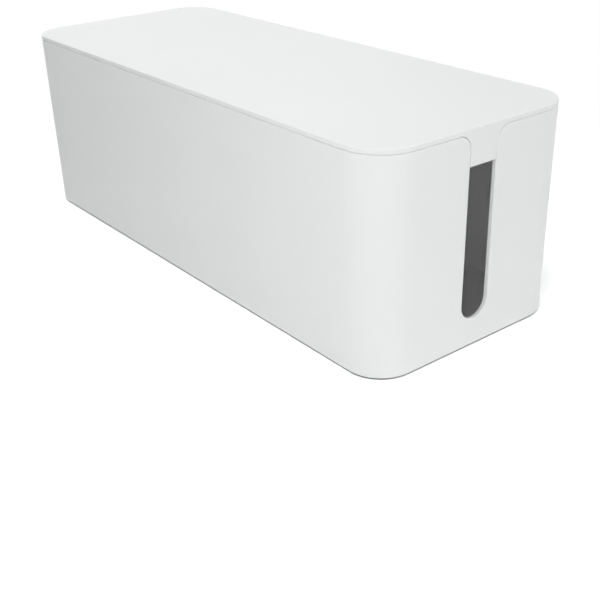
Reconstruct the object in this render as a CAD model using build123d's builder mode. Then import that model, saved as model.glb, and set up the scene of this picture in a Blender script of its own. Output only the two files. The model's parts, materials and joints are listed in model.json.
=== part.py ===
from build123d import *
from math import hypot, radians, tan
import os

# A lidded box that hides power strips and their cables. Millimetres and degrees.
# X runs along the length, Y across the width, Z up from the surface under the feet.

# Outside, measured at the lid's top, where the drafted box is widest
length = 400.0
width = 156.0
height = 135.0
corner_radius = 26.5
draft_angle = 1.5

# Body
wall = 2.8
floor_thickness = 2.5
floor_round = 1.5  # inside, where the walls meet the floor
base_round = 0.3  # outside, along the bottom edge
outer_edge_round = 0.8  # outside, along the rim and round the slots
inner_edge_round = 0.3  # inside, along the same edges

# Cable slots, one in each end wall and open to the rim
slot_width = 20.7
slot_low = 17.8  # height of the slot's lowest point
slot_shoulder = 9.5  # round where the slot meets the rim

# Lid
plate_thickness = 3.0
plate_round = 0.5  # along the top edge
seam_gap = 0.2  # open line between the plate's edge and the rim
seam_round = 0.3  # along the plate's lower edge and down the tongues' sides
seat_inset = 1.6  # from the outside in to the ring that rests on the rim
tongue_drop = 22.6  # from the lid's top to the tongue's lower edge
tongue_gap = 0.25  # between a tongue and the slot's side
tongue_lip_round = 1.6  # outside, along the tongue's lower edge
skirt_depth = 5.0
skirt_wall = 1.6
skirt_gap = 0.4  # between the skirt and the body's wall
gusset_thickness = 1.8
gusset_reach = 9.0  # along X, from the middle of the tongue's thickness
gusset_stop = 4.0  # from the tongue's lower edge up to the gusset

# Feet
foot_diameter = 12.0
foot_thickness = 2.0
foot_round = 0.4
foot_seat_depth = 1.0
foot_seat_gap = 0.2  # on the radius
foot_from_end = 34.0
foot_from_side = 27.0

# Places that follow from the sizes above
slope = tan(radians(draft_angle))
base = foot_thickness - foot_seat_depth  # underside of the floor
floor_top = base + floor_thickness
rim = height - plate_thickness  # top of the walls, where the lid sits
seam = rim + seam_gap  # underside of the plate
tongue_low = height - tongue_drop
tongue_half = slot_width / 2 - tongue_gap
skirt_inset = wall + skirt_gap
tongue_middle = length / 2 - skirt_inset / 2 - tongue_drop * slope
foot_x = length / 2 - foot_from_end
foot_y = width / 2 - foot_from_side
near = 0.01  # tolerance for finding edges and faces by their place


def drafted_block(low, high, inset):
    """Solid between two heights whose sides follow the drafted outside, moved in by inset."""
    with BuildPart() as block:
        with BuildSketch(Plane.XY.offset(low)):
            RectangleRounded(length - 2 * inset, width - 2 * inset, corner_radius - inset)
        extrude(amount=high - low)
        sides = block.faces().filter_by(Axis.Z, reverse=True)
        draft(sides, Plane.XY.offset(height), -draft_angle)
    return block.part


def wall_depth(point):
    """How far a point lies in from the drafted outside, measured level."""
    lean = (height - point.Z) * slope
    radius = corner_radius - lean
    along = abs(point.X) - (length / 2 - lean - radius)
    across = abs(point.Y) - (width / 2 - lean - radius)
    return radius - hypot(max(along, 0), max(across, 0)) - min(max(along, across), 0)


def edges_at_height(part, level):
    """Level edges at one height."""
    return part.edges().filter_by_position(Axis.Z, level - near, level + near)


def parting_edges(part, level, depth):
    """Edges along the seam, at one height, and round the slot or tongue, at one depth in the wall."""
    faces = part.faces().filter_by(Axis.Y) + part.faces().filter_by(GeomType.CYLINDER)
    faces += part.faces().filter_by(Axis.Z).filter_by_position(Axis.Z, level - near, level + near)
    edges = faces.edges().filter_by(lambda edge: abs(wall_depth(edge @ 0.5) - depth) < near)
    return ShapeList(dict.fromkeys(edges))


# The tray: floor and walls, a slot in each end, and seats for the feet
with BuildPart() as box_body:
    add(drafted_block(base, rim, 0))
    add(drafted_block(floor_top, height, wall), mode=Mode.SUBTRACT)
    with BuildSketch(Plane.YZ):
        with Locations((0, slot_low + slot_width / 2)):
            Circle(slot_width / 2)
            Rectangle(slot_width, height, align=(Align.CENTER, Align.MIN))
    extrude(amount=length, both=True, mode=Mode.SUBTRACT)
    mouth = edges_at_height(box_body, rim).filter_by(Axis.X)
    fillet(mouth.filter_by(lambda edge: edge.length < 2 * wall), slot_shoulder)
    fillet(parting_edges(box_body, rim, wall), inner_edge_round)
    fillet(parting_edges(box_body, rim, 0), outer_edge_round)
    fillet(edges_at_height(box_body, floor_top), floor_round)
    fillet(edges_at_height(box_body, base), base_round)
    with BuildSketch(Plane.XY.offset(base)):
        with GridLocations(2 * foot_x, 2 * foot_y, 2, 2):
            Circle(foot_diameter / 2 + foot_seat_gap)
    extrude(amount=foot_seat_depth, mode=Mode.SUBTRACT)
box_body.part.label = "box_body"

# Ring that rests on the rim, with a skirt that drops inside the walls and centres the lid
with BuildPart() as skirt:
    add(drafted_block(rim, seam, seat_inset))
    add(drafted_block(rim - skirt_depth, rim, skirt_inset))
    add(drafted_block(rim - skirt_depth, seam, skirt_inset + skirt_wall), mode=Mode.SUBTRACT)

# The lid: plate and tongues cut from one drafted block, then hollowed between the tongues
with BuildPart() as lid:
    add(drafted_block(tongue_low, height, 0))
    with BuildSketch(Plane.YZ) as profile:
        with Locations((0, seam)):
            Rectangle(width, height - seam, align=(Align.CENTER, Align.MIN))
        with Locations((0, tongue_low)):
            Rectangle(2 * tongue_half, tongue_drop, align=(Align.CENTER, Align.MIN))
        roots = profile.vertices().group_by(Axis.Y)[1].filter_by_position(Axis.X, -slot_width, slot_width)
        fillet(roots, slot_shoulder)
    extrude(amount=length, both=True, mode=Mode.INTERSECT)
    add(drafted_block(tongue_low, seam, skirt_inset), mode=Mode.SUBTRACT)
    lips = edges_at_height(lid, tongue_low).filter_by(Axis.Y)
    fillet(lips.filter_by(lambda edge: abs(wall_depth(edge @ 0.5)) < near), tongue_lip_round)
    fillet(parting_edges(lid, seam, 0), seam_round)
    fillet(edges_at_height(lid, height), plate_round)
    add(skirt.part)
    with BuildSketch(Plane.XZ):
        with BuildLine():
            Polyline(
                (tongue_middle, seam),
                (tongue_middle - gusset_reach, seam),
                (tongue_middle, tongue_low + gusset_stop),
                close=True,
            )
        make_face()
        mirror(about=Plane.YZ)
    extrude(amount=gusset_thickness / 2, both=True)
lid.part.label = "lid"

os.makedirs("parts", exist_ok=True)
export_step(box_body.part, "parts/box_body.step")
export_step(lid.part, "parts/lid.step")

# Rubber feet, each sunk into a seat under the floor
for place, x, y in (
    ("front_left", -foot_x, -foot_y),
    ("front_right", foot_x, -foot_y),
    ("rear_left", -foot_x, foot_y),
    ("rear_right", foot_x, foot_y),
):
    with BuildPart() as foot:
        with BuildSketch():
            with Locations((x, y)):
                Circle(foot_diameter / 2)
        extrude(amount=foot_thickness)
        fillet(edges_at_height(foot, 0), foot_round)
    foot.part.label = f"foot_{place}"
    export_step(foot.part, f"parts/foot_{place}.step")
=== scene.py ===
"""Looks for the cable management box: white moulded plastic on a white studio floor.

Every size is in metres, in the CAD frame. All six pieces are CAD nodes, whose shapes are right
as they come, so this script gives them their surfaces, the light and the camera.
"""

import json
from math import cos, radians, sin

import bpy
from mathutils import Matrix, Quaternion, Vector

# Camera: where it stands and what it aims at
CAMERA_AZIMUTH = 52.27  # degrees from the view along +Y, towards +X
CAMERA_ELEVATION = 21.59
CAMERA_ROLL = -1.56
CAMERA_DISTANCE = 0.6943
CAMERA_AIM = (0.03646, 0.0, 0.0435)
LENS_MM = 60.94
SENSOR_MM = 36.0
IMAGE_SIZE = 600  # pixels
MIDDLE_ROW = 200  # pixel row of the picture that the camera's axis meets

# Lamps: name, azimuth, elevation, distance, size, power
LAMPS = (
    ("top_light", 24, 65, 1.4, 0.8, 8.0),
    ("sheen_light", 240, 28, 1.4, 0.8, 1.2),
    ("left_light", 270, 40, 1.4, 0.8, 6.6),
    ("rear_light", 150, 50, 1.4, 0.8, 4.4),
    ("end_light", 120, 15, 1.4, 0.8, 5.7),
    ("corner_light", 40, 15, 0.8, 0.5, 2.12),
)
GLOSSY_LAMPS = ("top_light", "sheen_light")  # the others leave no sheen on the plastic
LAMP_AIM = (0.0, 0.0, 0.06)
LAMP_TINT = (0.980, 1.0, 0.990)
BOUNCES = 24  # enough for the closed white inside to fill with light

# Floor
FLOOR_SIZE = 8.0
FLOOR_WHITE = 0.80  # what the floor throws back on the object
FLOOR_SHOWN = 1.50  # what the picture shows of it, so that it comes out white
FADE_START = 0.22  # distance from the middle at which the floor begins to turn pure white
FADE_END = 0.42
# Painted shade on the floor: its colour is darkened where the object stands close over it
CONTACT_REACH = 0.01  # how far the floor looks up for something that stands close over it
PAINTED_CONTACT_SHADE = 0.28  # what is left of its white there
CONTACT_OPEN = (0.20, 0.42)  # share of open sky between full contact shade and none

# Noise: features per metre, and detail
TINT_NOISE = (7.0, 3)
WAVE_NOISE = (28.0, 1)
GRAIN_NOISE = (2600.0, 2)
RUBBER_NOISE = (3800.0, 4)
NOISE_SPAN = (0.3, 0.7)  # values that most of a noise lies between

# Plastic
PLASTIC_WHITE = (0.890, 0.888, 0.888)
PLASTIC_SHADE = (0.874, 0.872, 0.872)
PLASTIC_ROUGHNESS = (0.42, 0.54)
PLASTIC_IOR = 1.46
WAVE_HEIGHT = 0.00006
GRAIN_HEIGHT = 0.00002

# Rubber
RUBBER_DARK = (0.045, 0.046, 0.048)
RUBBER_LIGHT = (0.085, 0.086, 0.090)
RUBBER_ROUGHNESS = (0.72, 0.90)
RUBBER_HEIGHT = 0.00005


def direction(azimuth, elevation):
    """Unit vector from the object towards a place round it; azimuth 0 is the -Y side."""
    a, e = radians(azimuth), radians(elevation)
    return Vector((sin(a) * cos(e), -cos(a) * cos(e), sin(e)))


def place(name, data, aim, back, distance, roll=0.0):
    """Object that stands at a distance from its aim, along back, and faces the aim."""
    thing = bpy.data.objects.new(name, data)
    bpy.context.scene.collection.objects.link(thing)
    level = back.to_track_quat("Z", "Y")
    thing.rotation_mode = "QUATERNION"
    thing.rotation_quaternion = level @ Quaternion((0, 0, 1), radians(roll))
    thing.location = Vector(aim) + back * distance
    return thing


def make_camera():
    data = bpy.data.cameras.new("camera")
    data.sensor_width = SENSOR_MM
    data.lens = LENS_MM
    data.shift_y = (MIDDLE_ROW - IMAGE_SIZE / 2) / IMAGE_SIZE
    back = direction(CAMERA_AZIMUTH, CAMERA_ELEVATION)
    camera = place("camera", data, CAMERA_AIM, back, CAMERA_DISTANCE, CAMERA_ROLL)
    bpy.context.scene.camera = camera


def make_lamp(name, azimuth, elevation, distance, size, power):
    """A square softbox."""
    data = bpy.data.lights.new(name, "AREA")
    data.shape = "SQUARE"
    data.size = size
    data.energy = power
    data.color = LAMP_TINT
    lamp = place(name, data, LAMP_AIM, direction(azimuth, elevation), distance)
    lamp.visible_glossy = name in GLOSSY_LAMPS


def combine(nodes, links, operation, first, second):
    """One number made from two."""
    node = nodes.new("ShaderNodeMath")
    node.operation = operation
    links.new(first, node.inputs[0])
    links.new(second, node.inputs[1])
    return node.outputs["Value"]


def ramp(nodes, links, value, start, end, low, high):
    """A value followed from start to end and turned into a number between low and high."""
    node = nodes.new("ShaderNodeMapRange")
    node.inputs["From Min"].default_value = start
    node.inputs["From Max"].default_value = end
    node.inputs["To Min"].default_value = low
    node.inputs["To Max"].default_value = high
    links.new(value, node.inputs["Value"])
    return node.outputs["Result"]


def seen_directly(nodes, links):
    """A number that is 1 for what the camera sees straight, in a gloss or through glass, else 0."""
    rays = nodes.new("ShaderNodeLightPath").outputs
    indirect = combine(nodes, links, "MAXIMUM", rays["Is Glossy Ray"], rays["Is Transmission Ray"])
    return combine(nodes, links, "MAXIMUM", rays["Is Camera Ray"], indirect)


def make_world():
    """White to look at, without light of its own."""
    world = bpy.data.worlds.new("studio")
    bpy.context.scene.world = world
    world.use_nodes = True
    nodes, links = world.node_tree.nodes, world.node_tree.links
    background = nodes["Background"]
    background.inputs["Color"].default_value = (1, 1, 1, 1)
    links.new(seen_directly(nodes, links), background.inputs["Strength"])


def new_material(name):
    material = bpy.data.materials.new(name)
    material.use_nodes = True
    return material, material.node_tree.nodes, material.node_tree.links


def floor_material():
    """White that keeps the object's shadow near it, with painted shade added to its colour where the
    object stands close over it, and is pure white further out.
    """
    material, nodes, links = new_material("floor_white")
    nodes.clear()
    seen = seen_directly(nodes, links)
    # painted shade: an ambient occlusion test darkens the floor's colour under the object
    covered = nodes.new("ShaderNodeAmbientOcclusion")
    covered.inputs["Distance"].default_value = CONTACT_REACH
    painted_shade = ramp(nodes, links, covered.outputs["AO"], *CONTACT_OPEN, PAINTED_CONTACT_SHADE, 1)
    white = ramp(nodes, links, seen, 0, 1, FLOOR_WHITE, FLOOR_SHOWN)
    diffuse = nodes.new("ShaderNodeBsdfDiffuse")
    links.new(combine(nodes, links, "MULTIPLY", white, painted_shade), diffuse.inputs["Color"])
    position = nodes.new("ShaderNodeTexCoord")
    distance = nodes.new("ShaderNodeVectorMath")
    distance.operation = "LENGTH"
    links.new(position.outputs["Object"], distance.inputs[0])
    far = ramp(nodes, links, distance.outputs["Value"], FADE_START, FADE_END, 0, 1)
    backdrop = nodes.new("ShaderNodeEmission")
    mix = nodes.new("ShaderNodeMixShader")
    links.new(combine(nodes, links, "MULTIPLY", far, seen), mix.inputs["Fac"])
    links.new(diffuse.outputs[0], mix.inputs[1])
    links.new(backdrop.outputs[0], mix.inputs[2])
    output = nodes.new("ShaderNodeOutputMaterial")
    links.new(mix.outputs[0], output.inputs["Surface"])
    return material


def make_floor():
    mesh = bpy.data.meshes.new("floor")
    half = FLOOR_SIZE / 2
    corners = [(-half, -half, 0), (half, -half, 0), (half, half, 0), (-half, half, 0)]
    mesh.from_pydata(corners, [], [(0, 1, 2, 3)])
    mesh.materials.append(floor_material())
    floor = bpy.data.objects.new("floor", mesh)
    bpy.context.scene.collection.objects.link(floor)


def noise(nodes, links, scale, detail):
    """Noise fixed to the object."""
    position = nodes.new("ShaderNodeTexCoord")
    texture = nodes.new("ShaderNodeTexNoise")
    texture.inputs["Scale"].default_value = scale
    texture.inputs["Detail"].default_value = detail
    links.new(position.outputs["Object"], texture.inputs["Vector"])
    return texture.outputs["Fac"]


def spread(nodes, links, value, low, high):
    """A noise's value spread between two numbers."""
    return ramp(nodes, links, value, *NOISE_SPAN, low, high)


def two_tones(nodes, links, value, dark, light):
    """A colour that wanders between two with a noise's value."""
    mix = nodes.new("ShaderNodeMix")
    mix.data_type = "RGBA"
    mix.inputs["A"].default_value = (*dark, 1)
    mix.inputs["B"].default_value = (*light, 1)
    links.new(spread(nodes, links, value, 0, 1), mix.inputs["Factor"])
    return mix.outputs["Result"]


def bump(nodes, links, value, height, below=None):
    """Relief of a height in metres, laid over the one below if there is one."""
    node = nodes.new("ShaderNodeBump")
    node.inputs["Distance"].default_value = height
    links.new(value, node.inputs["Height"])
    if below is not None:
        links.new(below, node.inputs["Normal"])
    return node.outputs["Normal"]


def make_plastic():
    material, nodes, links = new_material("white_plastic")
    shader = nodes["Principled BSDF"]
    tint = noise(nodes, links, *TINT_NOISE)
    grain = noise(nodes, links, *GRAIN_NOISE)
    wave = noise(nodes, links, *WAVE_NOISE)
    links.new(two_tones(nodes, links, tint, PLASTIC_SHADE, PLASTIC_WHITE), shader.inputs["Base Color"])
    links.new(spread(nodes, links, grain, *PLASTIC_ROUGHNESS), shader.inputs["Roughness"])
    waved = bump(nodes, links, wave, WAVE_HEIGHT)
    links.new(bump(nodes, links, grain, GRAIN_HEIGHT, waved), shader.inputs["Normal"])
    shader.inputs["IOR"].default_value = PLASTIC_IOR
    return material


def make_rubber():
    material, nodes, links = new_material("foot_rubber")
    shader = nodes["Principled BSDF"]
    grain = noise(nodes, links, *RUBBER_NOISE)
    links.new(two_tones(nodes, links, grain, RUBBER_DARK, RUBBER_LIGHT), shader.inputs["Base Color"])
    links.new(spread(nodes, links, grain, *RUBBER_ROUGHNESS), shader.inputs["Roughness"])
    links.new(bump(nodes, links, grain, RUBBER_HEIGHT), shader.inputs["Normal"])
    return material


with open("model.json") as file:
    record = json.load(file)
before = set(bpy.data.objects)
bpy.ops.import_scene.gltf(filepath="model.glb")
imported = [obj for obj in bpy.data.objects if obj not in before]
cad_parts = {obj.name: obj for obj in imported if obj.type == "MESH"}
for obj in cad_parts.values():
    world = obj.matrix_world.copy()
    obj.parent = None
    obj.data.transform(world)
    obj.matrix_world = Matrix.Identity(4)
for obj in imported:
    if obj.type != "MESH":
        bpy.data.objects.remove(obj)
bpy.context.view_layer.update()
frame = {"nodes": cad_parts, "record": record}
make_camera()
make_world()
make_floor()
for lamp in LAMPS:
    make_lamp(*lamp)

scene = bpy.context.scene
scene.view_settings.view_transform = "Standard"
scene.cycles.max_bounces = BOUNCES
scene.cycles.diffuse_bounces = BOUNCES

finishes = {"shell": make_plastic(), "foot_rubber": make_rubber()}
for row in frame["record"]["subparts"]:
    node = frame["nodes"][row["node"]]
    node.data.materials.clear()
    node.data.materials.append(finishes[row["material_slot"]])
